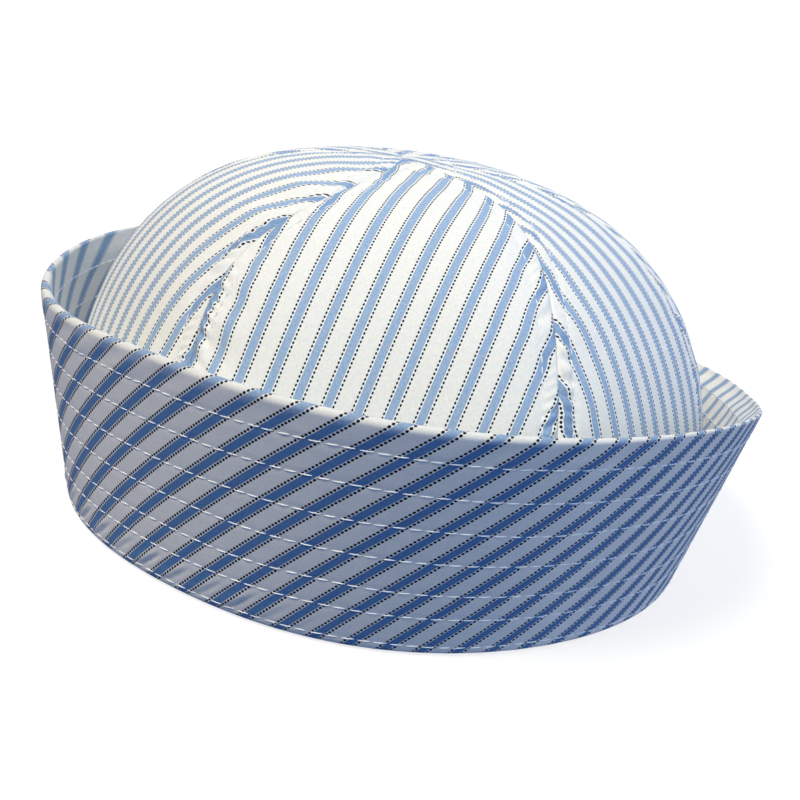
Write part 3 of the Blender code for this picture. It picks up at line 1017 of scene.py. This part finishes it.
# ---- stage
CAMERA_DISTANCE = 0.41046
CAMERA_AZIMUTH = 2.609      # degrees to the cap's left of straight ahead
CAMERA_RISE = 17.651        # degrees above the table top
CAMERA_TILT = -7.389        # degrees turned about its own line of sight
CAMERA_FOCUS = 1335.75      # in pixels of a picture this wide
PICTURE_WIDTH = 800.0
SENSOR_WIDTH = 36.0         # in millimetres
CAMERA_AIM = np.array([0.00225, 0.0, 0.03333])
FLOOR_RADIUS = 30.0
FLOOR_GREY = (0.30, 0.30, 0.30, 1.0)
FLOOR_GLOW = (0.79, 0.78, 0.77, 1.0)
ROOM_LOW = (0.159, 0.229, 0.423, 1.0)  # light of the room from below and from above
ROOM_HIGH = (0.004, 0.006, 0.075, 1.0)

# The lamps: degrees to the left of straight ahead and above the table top,
# strength, width in degrees, and colour.
Lamp = namedtuple("Lamp", "name left rise strength spread colour")
LAMPS = (
    Lamp("key", 40.0, 58.0, 2.83, 22.0, (1.0, 0.928, 0.756)),
    Lamp("front_right_fill", -45.0, 40.0, 0.92, 60.0, (0.53, 0.823, 1.0)),
    Lamp("right_fill", -90.0, 10.0, 0.97, 60.0, (0.727, 0.75, 1.0)),
    Lamp("back_fill", 180.0, 45.0, 1.12, 60.0, (0.695, 0.82, 1.0)),
)


def set_camera():
    az, el, tilt = (math.radians(v) for v in (CAMERA_AZIMUTH, CAMERA_RISE, CAMERA_TILT))
    back = np.array([math.sin(az) * math.cos(el), -math.cos(az) * math.cos(el), math.sin(el)])
    right = np.array([math.cos(az), math.sin(az), 0.0])
    up = np.cross(back, right)
    place = CAMERA_AIM + AXIS_PLACE + back * CAMERA_DISTANCE
    across = right * math.cos(tilt) - up * math.sin(tilt)
    upward = right * math.sin(tilt) + up * math.cos(tilt)
    data = bpy.data.cameras.new("camera")
    data.sensor_width = SENSOR_WIDTH
    data.lens = CAMERA_FOCUS / PICTURE_WIDTH * SENSOR_WIDTH
    camera = add_object("camera", data)
    camera.matrix_world = Matrix([*zip(across, upward, back, place), (0.0, 0.0, 0.0, 1.0)])
    bpy.context.scene.camera = camera


def add_lamp(lamp):
    light = bpy.data.lights.new(lamp.name, 'SUN')
    light.energy = lamp.strength
    light.angle = math.radians(lamp.spread)
    light.color = lamp.colour
    turn, lift = math.radians(lamp.left), math.radians(lamp.rise)
    direction = Vector((-math.sin(turn) * math.cos(lift),
                        -math.cos(turn) * math.cos(lift), math.sin(lift)))
    sun = add_object(lamp.name, light)
    sun.rotation_mode = 'QUATERNION'
    sun.rotation_quaternion = direction.to_track_quat('Z', 'Y')


def lay_floor():
    """A pale glowing table top that takes shadows and throws no light on the cap."""
    mesh = make_mesh("floor", bmesh.ops.create_circle, cap_ends=True, segments=64,
                     radius=FLOOR_RADIUS)
    pale = bpy.data.materials.new("pale_floor")
    pale.use_nodes = True
    shader = pale.node_tree.nodes["Principled BSDF"]
    shader.inputs["Base Color"].default_value = FLOOR_GREY
    shader.inputs["Roughness"].default_value = 1.0
    shader.inputs["Specular IOR Level"].default_value = 0.0
    shader.inputs["Emission Color"].default_value = FLOOR_GLOW
    shader.inputs["Emission Strength"].default_value = 1.0
    mesh.materials.append(pale)
    floor = add_object("floor", mesh)
    floor.visible_diffuse = False
    floor.visible_glossy = False


def light_room():
    """A faint bluish light all round, with plain white behind the cap."""
    world = bpy.data.worlds.new("room")
    world.use_nodes = True
    n = Nodes(world.node_tree)
    room = world.node_tree.nodes["Background"]
    way = n.add('ShaderNodeSeparateXYZ')
    n.feed(way.inputs[0], n.add('ShaderNodeTexCoord').outputs["Generated"])
    rise = n.ease(way.outputs[2], -0.25, 0.25)
    n.feed(room.inputs["Color"], n.blend(rise, ROOM_LOW, ROOM_HIGH))
    room.inputs["Strength"].default_value = 1.0
    backdrop = n.add('ShaderNodeBackground')
    backdrop.inputs["Color"].default_value = (1.0, 1.0, 1.0, 1.0)
    seen = n.add('ShaderNodeLightPath')
    choose = n.add('ShaderNodeMixShader')
    n.feed(choose.inputs[0], seen.outputs["Is Camera Ray"])
    n.feed(choose.inputs[1], room.outputs[0])
    n.feed(choose.inputs[2], backdrop.outputs[0])
    n.feed(world.node_tree.nodes["World Output"].inputs[0], choose.outputs[0])
    bpy.context.scene.world = world
    bpy.context.scene.view_settings.view_transform = 'Standard'


def main():
    set_camera()
    lay_floor()
    for lamp in LAMPS:
        add_lamp(lamp)
    light_room()
    cotton = make_striped_cotton()
    # the brim's cotton is given a lower lightness than the crown's: painted shade of the brim
    crown_cloth = make_cloth("crown_striped_cotton", cotton, CROWN_PITCH, 0.034, 0.36, 1.01)
    brim_cloth = make_cloth("brim_striped_cotton", cotton, BRIM_PITCH, 0.048, 0.39, 0.883)
    thread = make_thread()
    for index in range(len(GORES)):
        build_gore(index, crown_cloth)
    build_brim(brim_cloth)
    for name, inner in (("brim_stitches_outside", False), ("brim_stitches_inside", True)):
        sew(name, brim_lines(inner), BRIM_STITCH_PITCH, BRIM_STITCH_LENGTH, thread)
    sew("crown_topstitching", seam_lines(), SEAM_STITCH_PITCH, SEAM_STITCH_LENGTH, thread)


main()
